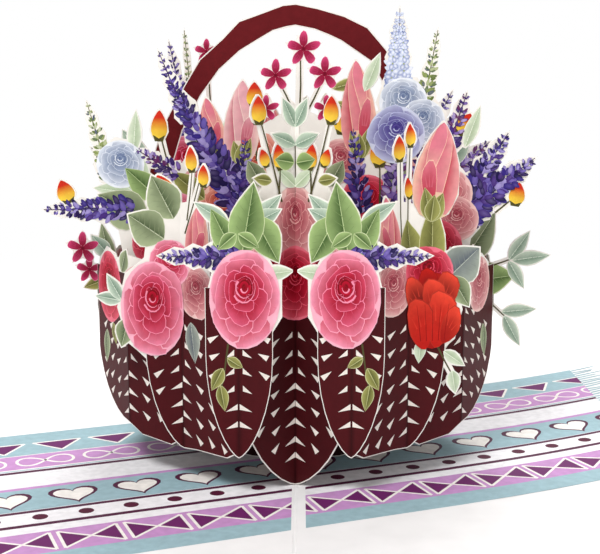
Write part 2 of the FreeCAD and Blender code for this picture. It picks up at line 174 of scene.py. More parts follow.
# base, lip, rim and heart of each kind of flower
ROSE = {
    "rose": (rgb("bf0f2f"), rgb("f0799c"), rgb("facbd6"), rgb("7c0717")),
    "hot": (rgb("a30a1f"), rgb("de3552"), rgb("f08a9b"), rgb("650511")),
    "dusty": (rgb("b9525f"), rgb("e3a5a4"), rgb("f3d5cd"), rgb("8c3340")),
    "peach": (rgb("c4452f"), rgb("eda08c"), rgb("f8d8c9"), rgb("9c271d")),
    "lilac": (rgb("5a4c98"), rgb("b4bce2"), rgb("e6e9f6"), rgb("3d3480")),
    "white": (rgb("8c9ab5"), rgb("dbe1ec"), rgb("f6f8fb"), rgb("5f6f93")),
}


class Stretched:
    """Draws through to another print, made taller about a height."""

    def __init__(self, ink, z, tall):
        self.ink, self.z, self.tall = ink, z, tall

    def to(self, points):
        return [(u, self.z + (z - self.z) * self.tall) for u, z in points]

    def fan(self, middle, ring, inner, outer):
        self.ink.fan(self.to([middle])[0], self.to(ring), inner, outer)

    def strip(self, left, right, shade_left, shade_right):
        self.ink.strip(self.to(left), self.to(right), shade_left, shade_right)


def rose(ink, u, z, radius, tone="rose", turn=0.0, tall=1.0):
    """A full flower seen from the front: rings of petals round a rolled heart that sits a little high."""
    rng = random.Random(int(radius * 100 + turn * 7 + abs(u) * 3))
    base, edge, rim, deep = ROSE[tone]
    reach = radius * 0.93 - 0.5
    page = Stretched(ink, z, tall)
    whole = oval(u, z, 2 * reach, 2 * reach, turn, 24)
    page.fan((u, z), whole, mix(rim, edge, 0.6), mix(rim, edge, 0.35))
    for ring, (count, start, length, width) in enumerate([
        (5, 0.2, 0.79, 1.22), (5, 0.13, 0.68, 1.04), (4, 0.06, 0.56, 0.88), (4, 0.02, 0.42, 0.62), (3, 0.0, 0.3, 0.42),
    ]):
        lift = 0.075 * ring * reach
        order = list(range(count))
        rng.shuffle(order)
        for i in order:
            angle = turn + 360 * i / count + 29 * ring + rng.uniform(-9, 9)
            c, s = math.cos(math.radians(angle)), math.sin(math.radians(angle))
            low = 0.5 - 0.5 * s
            dark = mix(base, deep, min(1.0, 0.2 * ring + 0.3 * (1 - low)))
            light = mix(edge, base, min(0.9, 0.24 * ring + 0.2 * (1 - low) + rng.uniform(-0.1, 0.1)))
            light = mix(light, rim, max(0.0, 0.3 - 0.15 * ring))
            petal_blob(
                page, u + c * reach * start, z + lift * 0.8 + s * reach * start, angle,
                reach * length * rng.uniform(0.92, 1.02) * (1 - 0.05 * ring * (s > 0)), reach * width * rng.uniform(0.9, 1.08),
                dark, light, mix(rim, edge, min(0.95, 0.4 + 0.2 * ring + 0.15 * (1 - low))),
            )
    heart = z + 0.24 * reach
    page.fan((u, heart), oval(u, heart, reach * 0.34, reach * 0.3, 0, 18), deep, base)
    for k, (size, begin) in enumerate([(0.15, 20), (0.1, 190), (0.055, 80), (0.21, 140), (0.21, 320), (0.3, 210)]):
        line(page, arc(u, heart, reach * size, begin, begin + 170), reach * 0.045, mix(edge, rim, 0.2) if k % 2 else deep, 0.1)


def tulip(ink, u, z, radius, tall=1.0):
    """A red flower half open, seen from the side: broad outer petals round a folded dark heart."""
    red, deep, bright = rgb("c21c14"), rgb("5f0a0b"), rgb("ee4a34")
    reach = radius * 0.93 - 0.5
    page = Stretched(ink, z, tall)
    page.fan((u, z), oval(u, z, reach * 1.9, reach * 1.75, 90, 22), red, mix(red, deep, 0.35))
    for du, dz, angle, long, wide, a, b in [
        (0.05, 0.1, 78, 0.95, 0.9, deep, red), (-0.2, -0.1, 118, 1.15, 0.95, deep, bright), (0.3, -0.1, 52, 1.1, 0.9, deep, bright),
        (0.0, -0.3, 92, 1.1, 1.0, mix(deep, red, 0.5), bright), (-0.1, -0.92, 105, 1.45, 1.25, red, bright),
        (0.25, -0.95, 72, 1.3, 1.2, red, mix(red, bright, 0.7)), (-0.35, -0.8, 128, 1.0, 0.8, mix(red, deep, 0.4), bright),
    ]:
        petal_blob(page, u + du * reach, z + dz * reach, angle, reach * long, reach * wide, a, b, mix(b, deep, 0.5))
    for k in range(5):
        foot = (u + (k - 2) * reach * 0.22, z - reach * 0.75)
        line(page, [foot, (foot[0] + (k - 2) * 0.3, z - reach * 0.3), (u + (k - 2) * reach * 0.3, z + reach * 0.15)],
             0.28, mix(deep, red, 0.45), 0.08)


GREENS = {
    "leaf": (rgb("3f5a2c"), rgb("9fb877"), rgb("cfdba8")),
    "sage": (rgb("6f8b76"), rgb("c4d3bf"), rgb("e6eddd")),
    "gum": (rgb("4c5a3c"), rgb("a8b48c"), rgb("d8dcc0")),
    "olive": (rgb("55562a"), rgb("a2a25c"), rgb("d0cf9c")),
    "pale": (rgb("a9bd97"), rgb("dbe4cc"), rgb("eef2e4")),
    "grey": (rgb("59606a"), rgb("9fa79a"), rgb("cdd2c4")),
}


def leaf(ink, u, z, length, width, angle, tone="leaf"):
    dark, light, rim = GREENS[tone]
    fractions = (0.0, 0.06, 0.14, 0.25, 0.38, 0.5, 0.62, 0.74, 0.85, 0.94, 1.0)
    span = max(length - 0.9, length * 0.8)
    half = max(width / 2 - 0.55, width * 0.3)
    spine = [(0.3 + span * f, 0) for f in fractions]
    top = [(0.3 + span * f, half * math.sin(math.pi * f ** 0.8)) for f in fractions]
    low = [(a, -b) for a, b in top]
    spine, top, low = (placed(u, z, angle, points) for points in (spine, top, low))
    wide_top = placed(u, z, angle, [(0.2 + (span + 0.2) * f, (half + 0.22) * math.sin(math.pi * f ** 0.8)) for f in fractions])
    wide_low = placed(u, z, angle, [(0.2 + (span + 0.2) * f, -(half + 0.22) * math.sin(math.pi * f ** 0.8)) for f in fractions])
    ink.strip(wide_top, wide_low, rim, rim)
    ink.strip(top, spine, light, mix(dark, light, 0.35))
    ink.strip(spine, low, dark, mix(dark, light, 0.75))
    line(ink, spine[:-1], 0.35, mix(light, rim, 0.5), 0.12)
    if length > 9:
        for f in (0.14, 0.28, 0.42, 0.56, 0.7):
            for sign in (1, -1):
                vein = placed(u, z, angle, [
                    (span * f, 0), (span * (f + 0.13), sign * half * 0.6 * math.sin(math.pi * f ** 0.8))])
                line(ink, vein, 0.18, mix(dark, light, 0.45), 0.08)


SPIKES = {
    "lavender": [rgb("1d1446"), rgb("36267e"), rgb("6d5bad"), rgb("27164a"), rgb("a698d2"), rgb("4b2f7c")],
    "violet": [rgb("2c1850"), rgb("4b2c7e"), rgb("7f62ad"), rgb("64265a"), rgb("b6a4d6"), rgb("371f66")],
    "larkspur": [rgb("8e9cc8"), rgb("c9d2ea"), rgb("e4e8f4"), rgb("a5b0d6"), rgb("eff1f8"), rgb("6f7fb6")],
    "veronica": [rgb("66763a"), rgb("8f9c5c"), rgb("b9c193"), rgb("5a6d4c"), rgb("c9cfae"), rgb("4d5570")],
}


def spike(ink, u, z, length, width, angle, tone="lavender", seed=1):
    """A flower spike: whorls of small petals on a stem, that get smaller to its tip."""
    rng = random.Random(seed * 977 + int(length * 10))
    shades = SPIKES[tone]
    line(ink, placed(u, z, angle, [(0.5, 0), (length * 0.5, 0), (length - 1, 0)]), 0.6, mix(BARK, shades[1], 0.35), 0.2)
    rows = max(5, int(length / 2.1))
    for row in range(rows):
        part = (row + 0.35) / rows
        reach = max(width / 2 * 0.84 * (1 - 0.75 * part ** 2) - 0.3, 0.8)
        at = length * part * 0.96
        for side in (1, -1, 1, -1, 0, 1, -1, 1, -1):
            out = reach * rng.uniform(0.05, 0.66) * side
            tilt = side * rng.uniform(22, 66)
            long = reach * rng.uniform(0.6, 0.98)
            colour = rng.choice(shades)
            shade = mix(colour, shades[4], rng.uniform(0, 0.3))
            base = placed(u, z, angle, [(at + rng.uniform(-0.6, 0.4), out)])[0]
            tip = placed(base[0], base[1], angle + tilt, [(long * 0.3, 0)])[0]
            ink.fan(tip, oval(tip[0], tip[1], long, long * 0.48, angle + tilt, 9, 0.25), shade, mix(colour, shades[0], 0.25))
        if tone == "larkspur":
            for side in (0.5, -0.5):
                centre = placed(u, z, angle, [(at, side * reach)])[0]
                size = reach * 0.62
                for k in range(5):
                    turn = 72 * k + 40 * row
                    petal = placed(centre[0], centre[1], turn, [(size * 0.5, 0)])[0]
                    ink.fan(petal, oval(petal[0], petal[1], size, size * 0.7, turn, 9), shades[4], shades[k % 2])
                ink.fan(centre, oval(centre[0], centre[1], size * 0.3, size * 0.3, 0, 7), rgb("b9c07a"), rgb("8d9a8a"))


def bud(ink, u, z, length, width, angle, tone="orange"):
    """A closed flower on its green cup."""
    if tone == "orange":
        low, high, deep = rgb("f7d045"), rgb("d6321c"), rgb("8d1a10")
    elif tone == "pink":
        low, high, deep = rgb("f4d2b0"), rgb("e28494"), rgb("b5203a")
    else:
        low, high, deep = rgb("f3dfd0"), rgb("e9b0b6"), rgb("b8405c")
    span, half = length - 0.9, max(width / 2 - 0.5, width * 0.32)

    def side(part, sign, scale):
        return (0.4 + span * part, sign * scale * half * math.sin(math.pi * part ** 0.7) ** 0.7 if 0 < part < 1 else 0)

    fractions = [0.0, 0.06, 0.15, 0.3, 0.45, 0.6, 0.75, 0.88, 0.97, 1.0]
    top = placed(u, z, angle, [side(f, 1, 1) for f in fractions])
    low_line = placed(u, z, angle, [side(f, -1, 1) for f in fractions])
    level = ink.level_for(top + low_line)
    for i in range(len(fractions) - 1):
        a, b = (mix(low, high, min(1, max(0, (f - 0.25) / 0.5))) for f in (fractions[i], fractions[i + 1]))
        ink.patches.append(([top[i], top[i + 1], low_line[i + 1], low_line[i]], [a, b, mix(b, deep, 0.25), mix(a, deep, 0.25)], level))
    if length > 14:
        for sign, begin, end, reach, fold, lip in (
            (1, 0.3, 0.98, -0.25, mix(high, deep, 0.35), mix(low, high, 0.7)),
            (1, 0.08, 0.86, 0.3, mix(high, deep, 0.85), mix(low, high, 0.75)),
            (-1, 0.08, 0.92, 0.45, mix(high, deep, 0.5), mix(low, high, 0.35)),
        ):
            wrap = [k / 7 for k in range(8)]
            inner = [side(begin + (end - begin) * f, sign, reach + (0.95 - reach) * f ** 2.2) for f in wrap]
            outer = [side(begin + (end - begin) * f, sign, 0.98) for f in wrap]
            ink.strip(placed(u, z, angle, inner), placed(u, z, angle, outer), fold, lip)
            line(ink, placed(u, z, angle, inner), 0.3, mix(low, high, 0.3), 0.1)
        curl = placed(u, z, angle, [(span * 0.14, -0.12 * half)])[0]
        petal_blob(
            ink, curl[0], curl[1], angle - 9, span * 0.48, half * 0.8,
            mix(high, deep, 0.9), mix(high, deep, 0.25), mix(low, high, 0.3),
        )
        cup = [(-18, 0.34), (16, 0.3), (0, 0.26)]
        for turn, reach in cup:
            leaf(ink, u, z, length * reach + 1, width * 0.32 + 0.8, angle + turn, "olive")
    else:
        cup = placed(u, z, angle, [(0, half * 0.5), (span * 0.22, half * 0.75), (span * 0.1, 0), (span * 0.22, -half * 0.75), (0, -half * 0.5)])
        ink.fan(placed(u, z, angle, [(span * 0.06, 0)])[0], cup, rgb("3b3420"), rgb("5c5a2c"))


def star(ink, u, z, radius):
    reach = radius * 0.86
    for k in range(5):
        angle = 90 + 72 * k
        petal_blob(ink, u, z, angle, reach, reach * 0.62, rgb("8c1030"), rgb("d8487a"), rgb("f3b3c6"))
    ink.fan((u, z), oval(u, z, reach * 0.3, reach * 0.3, 0, 8), rgb("5b0a1e"), rgb("8c1030"))


def stem(ink, u, z, u_end, z_end, width=2.2):
    bow = 0.06 * math.hypot(u_end - u, z_end - z)
    mid = ((u + u_end) / 2 + bow * 0.2, (z + z_end) / 2)
    line(ink, [(u, z), mid, (u_end, z_end)], 0.6, mix(BARK, rgb("5d6a35"), 0.35), 0.35)


def sprig(ink, u, z, u_end, z_end, tone="sage"):
    """A thin stem with small paired leaves."""
    stem(ink, u, z, u_end, z_end)
    angle = math.degrees(math.atan2(z_end - z, u_end - u))
    span = math.hypot(u_end - u, z_end - z)
    for k in range(1, 4):
        at = placed(u, z, angle, [(span * k / 4, 0)])[0]
        for sign in (1, -1):
            leaf(ink, at[0], at[1], span * 0.3 + 1, span * 0.12 + 1.2, angle + sign * 48, tone)


DRAW = {
    "rose": rose, "tulip": tulip, "leaf": leaf, "spike": spike, "bud": bud, "star": star, "stem": stem, "sprig": sprig,
}


def mirrored(items):
    flipped = []
    for kind, u, z, *rest in items:
        rest = list(rest)
        if kind in ("stem", "sprig"):
            rest[0] = -rest[0]
        elif kind not in ("rose", "star", "tulip"):
            rest[2] = 180 - rest[2]
        flipped.append((kind, -u, z, *rest))
    return flipped


def both_sides(items):
    return [pair for a, b in zip(items, mirrored(items)) for pair in (a, b)]


# The flowers of each sheet from back to front: what, u from the crease, height, size and tone

CENTRE = both_sides([
    ("rose", 7, 72, 7.5, "hot", 0, 1.5), ("leaf", 0.5, 97, 7.5, 6, 10, "leaf"), ("leaf", 8, 92, 7, 4, 10, "olive"),
]) + [
    ("rose", 0, 80, 9.5, "dusty", 18, 1.3), ("rose", 0, 62, 10.5, "hot", 12, 1.2), ("stem", 0, 84, 0, 103),
] + both_sides([
    ("leaf", 0, 90, 9, 5, 40, "pale"), ("leaf", 0, 102, 9.5, 5, 22, "sage"), ("leaf", 0, 107, 10, 5, 62, "sage"),
    ("stem", 5, 86, 12.5, 110), ("stem", 6, 88, 5.5, 97), ("bud", 5.2, 95, 8, 5.4, 80), ("bud", 12.6, 108, 8.5, 6, 88),
    ("bud", 10, 96, 6, 4.4, 70), ("leaf", 0.5, 97, 7.5, 6, 10, "leaf"),
])
SHEET_1 = [
    ("rose", 1, 74, 6, "dusty", 10),
    ("leaf", -3, 78, 9, 5.5, -120, "leaf"), ("leaf", -2, 80, 13, 5.5, 150, "sage"), ("leaf", -0.5, 71, 16, 8.5, 118, "leaf"),
    ("leaf", 3, 79, 14, 6, 45, "sage"), ("leaf", 3, 80, 11, 6, 25, "sage"), ("leaf", 7, 66, 9.5, 5, 5, "pale"),
    ("leaf", 8, 67, 11, 4.6, -68, "sage"), ("leaf", 4.5, 83, 16, 10, -62, "leaf"), ("leaf", 1, 71, 22, 11, 80, "leaf"),
    ("spike", 1, 71, 26, 10, 181, "lavender", 3),
    ("leaf", 0, 78, 8, 5, -35, "leaf"), ("leaf", 0, 78, 8, 5, -140, "leaf"),
    ("stem", -3, 46, -5.5, 31), ("leaf", -3.5, 42, 6, 4, -30, "olive"), ("leaf", -4.5, 39, 8.5, 4.6, -118, "olive"),
    ("leaf", -5.5, 34, 8.5, 4.6, -80, "olive"), ("rose", 1.8, 59, 11.7, "rose", 5, 1.38),
]
SHEET_2_LEFT = [
    ("stem", 2, 76, 9.5, 94), ("stem", 3, 80, 5.8, 96), ("bud", -3, 86, 8.5, 6.5, 120), ("bud", 10.2, 90, 7, 5.6, 88),
    ("bud", 5.5, 94, 8, 6, 95), ("leaf", -2, 80, 15, 12, 118, "gum"), ("leaf", -5, 74, 14, 12.5, 148, "gum"),
    ("bud", 6, 66, 20, 11, 82, "pink"), ("rose", 6.5, 59, 9, "dusty", 8), ("leaf", 4, 50, 13, 7, -82, "grey"),
    ("rose", -3, 67, 8, "rose", 30), ("leaf", -17, 50, 10, 7, -105, "gum"), ("leaf", -19, 55, 9, 4.6, 172, "sage"),
    ("leaf", -19, 55, 9.5, 4.8, 120, "sage"), ("rose", -9, 53, 11.6, "rose", 40, 1.4),
]
SHEET_2_RIGHT = [
    ("stem", -1, 70, -0.5, 104), ("stem", -3, 66, -4.8, 99), ("bud", -5, 97, 8, 6, 92), ("bud", -0.4, 86, 7, 4.6, 100), ("bud", -0.5, 101, 7.5, 5, 92),
    ("bud", -7, 66, 22, 10, 100, "pink"), ("rose", -7, 60, 9.5, "dusty", 0), ("leaf", 12, 62, 14, 13, 42, "grey"),
    ("leaf", 13, 63, 12, 8, -58, "gum"), ("leaf", 1, 66, 15, 9, 100, "olive"), ("leaf", 7, 62, 24, 9, 90, "olive"), ("bud", 6.4, 79, 30, 15.5, 83, "pink"), ("stem", 9, 42, 15, 31),
    ("leaf", 11, 40, 9, 4.4, -35, "pale"), ("leaf", 4, 44, 8, 4.6, -95, "pale"), ("leaf", 14, 34, 8, 5, -80, "pale"),
    ("rose", 6, 64, 9, "hot", 0), ("tulip", 7.5, 52.5, 9.6, 1.45),
]
SHEET_3_LEFT = [
    ("leaf", -4, 62, 9, 7, 60, "gum"), ("leaf", -17, 42, 12, 6, -96, "gum"), ("leaf", -12, 45, 8, 5, -70, "olive"),
    ("rose", 5, 58, 8, "dusty", 0), ("rose", -14, 56, 11, "hot", 20, 1.18),
]
SHEET_3_RIGHT = [
    ("leaf", -4, 60, 11, 9, 100, "gum"), ("leaf", 3, 60, 11, 9, 70, "grey"), ("leaf", 16, 44, 12, 6, -80, "gum"),
    ("rose", -6, 58, 7, "dusty", 0), ("rose", 12, 57, 10, "dusty", 10),
]
FRONT_ROW = [
    ("rose", -28.5, 88, 8, "dusty", 0), ("rose", -22, 82, 9, "peach", 30), ("rose", 14, 96, 8, "dusty", 15), ("leaf", -30, 96, 15, 6, 75, "pale"),
    ("leaf", -24, 100, 13, 6, 60, "pale"), ("leaf", 24, 100, 16, 6, 115, "leaf"), ("rose", -12, 98, 8, "peach", 50),
    ("rose", 22, 84, 9, "hot", 10), ("rose", 36, 88, 10, "dusty", 44), ("leaf", -28, 84, 14, 8, 140, "olive"),
    ("leaf", 28, 86, 14, 8, 60, "gum"), ("spike", 40, 78, 24, 10, 95, "violet", 21), ("leaf", 2, 96, 12, 6, 130, "pale"),
    ("leaf", -2, 96, 12, 6, 50, "pale"), ("bud", 50, 104, 8, 6, 60), ("rose", -36, 78, 9, "rose", 0),
    ("stem", 1, 104, 1.5, 134), ("stem", 0, 110, -6, 122), ("stem", 2, 108, 9, 122), ("stem", -38, 88, -42, 106),
    ("stem", -12, 96, -12.5, 116), ("spike", -57, 90, 26, 7.5, 106, "veronica", 2), ("leaf", -50, 98, 14, 5, 85, "pale"),
    ("leaf", -47, 88, 12, 6, 100, "pale"), ("leaf", -48, 87, 13, 6, 140, "sage"), ("leaf", -50, 86, 13, 6, 172, "pale"),
    ("rose", -54, 95, 8.5, "white", 0), ("spike", -33, 108, 24, 7, 112, "lavender", 5), ("bud", -42, 102, 10, 6, 88),
    ("bud", -24, 96, 20, 9, 100, "pink"), ("bud", -17, 94, 27, 12, 88, "pale"),
    ("spike", -36, 92, 16, 8, 150, "violet", 6), ("spike", -18, 84, 42, 14, 119, "lavender", 7),
    ("leaf", -42, 84, 15, 9, 137, "leaf"), ("leaf", -46, 77, 18, 13.5, 150, "gum"), ("bud", -70, 83, 8, 6.5, 110),
    ("spike", -50, 81, 29, 10.5, 180, "lavender", 8), ("leaf", 11, 118, 12, 4.4, 15, "olive"),
    ("leaf", 12, 114, 10, 4.2, -25, "olive"), ("star", -6, 122, 5.6), ("star", 9, 122.5, 5.8), ("star", 2.5, 130, 6),
    ("star", -9, 112, 4.6), ("star", 9.5, 112, 4.6), ("bud", -12.5, 112, 8.5, 6, 90), ("bud", 14, 104, 9, 6, 85),
    ("bud", 20, 96, 31, 12, 93, "pink"), ("spike", 20, 80, 27, 10, 95, "lavender", 22), ("spike", 30, 82, 22, 11, 85, "violet", 23),
    ("bud", 26, 94, 9, 6.5, 95), ("stem", 26, 80, 26, 94), ("spike", -18, 78, 26, 10, 84, "lavender", 24), ("spike", 38, 106, 31, 7.5, 80, "veronica", 9),
    ("spike", 31, 108, 35, 11, 89, "larkspur", 10), ("rose", 33, 114, 8.5, "white", 0), ("leaf", 21, 117, 13, 5, 68, "pale"),
    ("rose", 39, 108, 8, "white", 20), ("rose", 31, 104, 10, "lilac", 30), ("leaf", 52, 100, 14, 5, 70, "pale"),
    ("spike", 45, 94, 25, 9.5, 72, "violet", 11), ("stem", 62, 80, 69, 86), ("bud", 68, 82, 8, 6, 80),
    ("spike", 50, 80, 30, 12, 58, "lavender", 12), ("spike", 47, 76, 35, 15, 38, "lavender", 13),
    ("rose", 47, 86, 9, "dusty", 0), ("rose", 0, 94, 9, "dusty", 0), ("rose", 50, 78, 8, "dusty", 5), ("leaf", -10, 88, 10, 7, 120, "gum"),
    ("leaf", 10, 88, 10, 7, 60, "gum"), ("rose", -44, 70, 8, "hot", 0), ("rose", 44, 70, 9, "hot", 0),
]
HANDLE_SHEET = [
    ("leaf", 54, 62, 20, 11, 58, "gum"), ("leaf", 56, 56, 16, 11.5, 8, "leaf"), ("stem", 60, 60, 74, 65),
    ("leaf", 69, 63, 12, 5.2, 55, "sage"), ("leaf", 70, 63, 13, 5.4, 8, "sage"), ("leaf", 69, 63, 11, 5, -60, "sage"),
    ("stem", 60, 52, 70, 43), ("leaf", 67, 46, 12, 5, 5, "sage"), ("leaf", 68, 45, 12, 5, -62, "sage"),
    ("leaf", -60, 60, 16, 6, 100, "gum"), ("leaf", -60, 64, 10, 6, 130, "sage"), ("leaf", -61, 57, 9, 5, 200, "olive"),
    ("star", -67, 60, 5), ("star", -69, 67, 6),
]
BACK_ROW = [
    ("stem", -28, 96, -29, 130), ("spike", -33, 98, 40, 5, 95, "veronica", 14), ("star", -29.2, 130, 4.6),
    ("spike", -34, 98, 37, 8, 102, "lavender", 15), ("spike", 36, 88, 34, 10, 62, "lavender", 16),
    ("spike", 30, 92, 38, 10, 82, "veronica", 17), ("spike", 42, 82, 30, 11, 40, "violet", 18),
    ("spike", -44, 82, 30, 11, 145, "lavender", 19), ("leaf", 50, 92, 15, 8, 60, "sage"),
    ("leaf", -50, 92, 15, 8, 120, "sage"), ("leaf", 51, 78, 19, 9, 10, "leaf"), ("leaf", -51, 78, 19, 9, 170, "leaf"),
    ("bud", -8, 92, 22, 12, 92, "pink"), ("bud", 20, 92, 24, 11, 85, "pale"), ("rose", -36, 94, 10, "rose", 0),
    ("rose", 46, 84, 9, "dusty", 0), ("rose", -47, 84, 9, "dusty", 10), ("rose", -20, 92, 10, "dusty", 20),
    ("rose", 8, 92, 11, "rose", 0), ("rose", 30, 84, 10, "hot", 0), ("rose", -6, 78, 10, "hot", 5),
]


# Basket panels

def petal_side(half_width, tip, wide, pointed=1.35, steps=8):
    points = []
    for step in range(1, steps + 1):
        turn = math.pi / 2 * step / steps
        points.append((half_width * math.sin(turn) ** pointed, wide - (wide - tip) * math.cos(turn)))
    return points


def weave(ink, left, right, tip, shade=MAROON, top=RIM):
    """A panel of the basket, given its two lower edges from the tip up, with a narrow white margin at a free edge. Its
    maroon carries painted shade: darker towards the top, and darker still in a narrow strip along the crease.
    """
    for sign, side in ((-1, left), (1, right)):
        edge = [(0.0, tip + 0.3)] + [(max(u - 0.2, 0.05), z + 0.25) for u, z in side]
        low = [(sign * u, z) for u, z in edge]
        high = [(sign * u, top) for u, z in edge]
        # painted shade: the maroon darkens from the panel's lower edge up to its top
        ink.strip(high, low, mix(shade, MAROON_SHADE, 0.35), shade)
        # painted shade: a narrow strip beside the crease, darkest at the fold and fading out over 1.2 mm
        ink.strip([(0.0, top), (0.0, tip + 0.3)], [(sign * 1.2, top), (sign * 1.2, max(tip, low[1][1]) + 0.3)],
                  mix(shade, MAROON_SHADE, 0.6), shade)


def marks(ink, side, sign, tip, top=54.0, seed=1, columns=4, phase=0.0):
    """Rows of pale wedges on one half of a panel: the first of a row starts at the crease, the others point back to it."""
    rng = random.Random(seed)
    us, zs = [0.0] + [p[0] for p in side], [tip] + [p[1] for p in side]

    def on_paper(u, z):
        return 0 <= u < max(us) - 0.6 and z > np.interp(u, us, zs) + 0.9 and u < np.interp(z, zs, us) - 0.5 if zs == sorted(zs) else (
            0 <= u < max(us) - 0.6 and z > max(zs[:-1]) + 0.9)

    z = tip + 4.0 + phase
    while z < top:
        for column in range(columns):
            u = 0.35 + 5.4 * column + rng.uniform(-0.2, 0.2)
            height = z - column * 2.7 + rng.uniform(-0.3, 0.3) + (2.0 if column % 2 else 0)
            long, wide = (3.9, 1.9) if column == 0 else (3.6 * rng.uniform(0.9, 1.1), 1.75)
            slope = 20 + 6 * column + 26 * (1 - z / 62) + rng.uniform(-5, 5)
            if column == 0:
                apart = 0.25 if z < 33 else 1.2
                corners = [
                    (apart, height + wide * 0.35), (apart, height - wide * 0.55), (long, height - long * 0.5),
                ]
            else:
                corners = placed(u, height, -slope, [(0, 0), (long, wide / 2), (long, -wide / 2)])
            if all(on_paper(a, b) for a, b in corners):
                corners = [(sign * a, b) for a, b in corners]
                middle = (sum(p[0] for p in corners) / 3, sum(p[1] for p in corners) / 3)
                ink.fan(middle, corners, CREAM, CREAM)
        z += 5.3


# Putting a print onto the paper

def clip(points, shades, a, b, c):
    """The part of a convex patch where a u + b z >= c."""
    out_points, out_shades = [], []
    for i in range(len(points)):
        p, q = points[i], points[(i + 1) % len(points)]
        s, t = shades[i], shades[(i + 1) % len(points)]
        dp, dq = a * p[0] + b * p[1] - c, a * q[0] + b * q[1] - c
        if dp >= 0:
            out_points.append(p)
            out_shades.append(s)
        if (dp > 0 > dq) or (dp < 0 < dq):
            f = dp / (dp - dq)
            out_points.append((p[0] + (q[0] - p[0]) * f, p[1] + (q[1] - p[1]) * f))
            out_shades.append(mix(s, t, f))
    return out_points, out_shades


class Build:
    """Collects the patches of one printed face in the row frame, in metres."""

    def __init__(self):
        self.points, self.faces, self.shades = [], [], []

    def add(self, points, shades):
        first = len(self.points)
        self.points += [(x * MM, y * MM, z * MM) for x, y, z in points]
        self.faces.append(range(first, first + len(points)))
        self.shades += [(*s, 1.0) for s in shades]

    def make(self, name, material):
        mesh = bpy.data.meshes.new(name)
        mesh.from_pydata(self.points, [], [list(f) for f in self.faces])
        layer = mesh.color_attributes.new("ink", "FLOAT_COLOR", "CORNER")
        layer.data.foreach_set("color", [v for shade in self.shades for v in shade])
        mesh.materials.append(material)
        obj = bpy.data.objects.new(name, mesh)
        bpy.context.scene.collection.objects.link(obj)
        return obj


def print_sheet(name, ink, crease, left_angle, left_reach, right_angle, right_reach, turned=False, flipped=False):
    """Lays a print on both faces of a creased sheet. turned gives the sheet at the back, flipped its mirror image."""
    ways = {-1: left_angle, 1: right_angle}
    ahead = {s: Vector((math.cos(math.radians(a)), math.sin(math.radians(a)))) for s, a in ways.items()}
    mitre = ahead[-1] + ahead[1]
    if mitre.length < 1e-6:
        mitre = Vector((-ahead[1].y, ahead[1].x))
    mitre.normalize()
    build = Build()
    coat = min(COAT, PROUD / max(level for _, _, level in ink.patches))
    for sign, reach in ((-1, left_reach), (1, right_reach)):
        way = ahead[sign]
        square = Vector((-way.y, way.x))
        for face in (1, -1):
            normal = square * face
            toward = mitre if mitre.dot(normal) > 0 else -mitre
            slip = toward.dot(way) / toward.dot(normal)
            for points, shades, level in ink.patches:
                inside = clip(points, shades, sign, 0, 0.0)
                inside = clip(*inside, -sign, 0, -(reach - 0.25)) if inside[0] else inside
                if len(inside[0]) < 3:
                    continue
                rise = SHEET / 2 + LIFT + coat * level
                placed_points = []
                for u, z in inside[0]:
                    along = abs(u) if abs(u) > 1e-6 else slip * rise
                    at = Vector(crease) + way * along + normal * rise
                    x, y = at
                    if flipped:
                        x = -x
                    if turned:
                        x, y = -x, -y
                    placed_points.append((x, y, z))
                build.add(placed_points, inside[1])
    obj = build.make(name, PRINT)
    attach(obj, "root")
    return obj


# Materials

def mottled(name, rough, low, high, scale, bump, colour=None, attribute=None, sheen=0.0):
    """A paper-like material: its colour varies a little, and its surface has a fine grain."""
    mat = bpy.data.materials.new(name)
    mat.use_nodes = True
    nodes, links = mat.node_tree.nodes, mat.node_tree.links
    bsdf = nodes["Principled BSDF"]
    coords = nodes.new("ShaderNodeTexCoord")
    noise = nodes.new("ShaderNodeTexNoise")
    noise.inputs["Scale"].default_value = scale
    noise.inputs["Detail"].default_value = 4
    links.new(coords.outputs["Object"], noise.inputs["Vector"])
    spread = nodes.new("ShaderNodeMapRange")
    spread.inputs["From Min"].default_value = 0.3
    spread.inputs["From Max"].default_value = 0.7
    spread.inputs["To Min"].default_value = low
    spread.inputs["To Max"].default_value = high
    links.new(noise.outputs["Fac"], spread.inputs["Value"])
    tint = nodes.new("ShaderNodeMix")
    tint.data_type = "RGBA"
    tint.blend_type = "MULTIPLY"
    tint.inputs["Factor"].default_value = 1.0
    if attribute:
        source = nodes.new("ShaderNodeAttribute")
        source.attribute_name = attribute
        links.new(source.outputs["Color"], tint.inputs["A"])
    else:
        tint.inputs["A"].default_value = (*colour, 1)
    links.new(spread.outputs["Result"], tint.inputs["B"])
    links.new(tint.outputs["Result"], bsdf.inputs["Base Color"])
    gloss = nodes.new("ShaderNodeMapRange")
    gloss.inputs["To Min"].default_value = rough - 0.06
    gloss.inputs["To Max"].default_value = rough + 0.08
    links.new(noise.outputs["Fac"], gloss.inputs["Value"])
    links.new(gloss.outputs["Result"], bsdf.inputs["Roughness"])
    grain = nodes.new("ShaderNodeTexNoise")
    grain.inputs["Scale"].default_value = 1800
    grain.inputs["Detail"].default_value = 3
    links.new(coords.outputs["Object"], grain.inputs["Vector"])
    ridge = nodes.new("ShaderNodeBump")
    ridge.inputs["Strength"].default_value = bump
    ridge.inputs["Distance"].default_value = 0.00005
    links.new(grain.outputs["Fac"], ridge.inputs["Height"])
    links.new(ridge.outputs["Normal"], bsdf.inputs["Normal"])
    bsdf.inputs["Specular IOR Level"].default_value = 0.1
    return mat


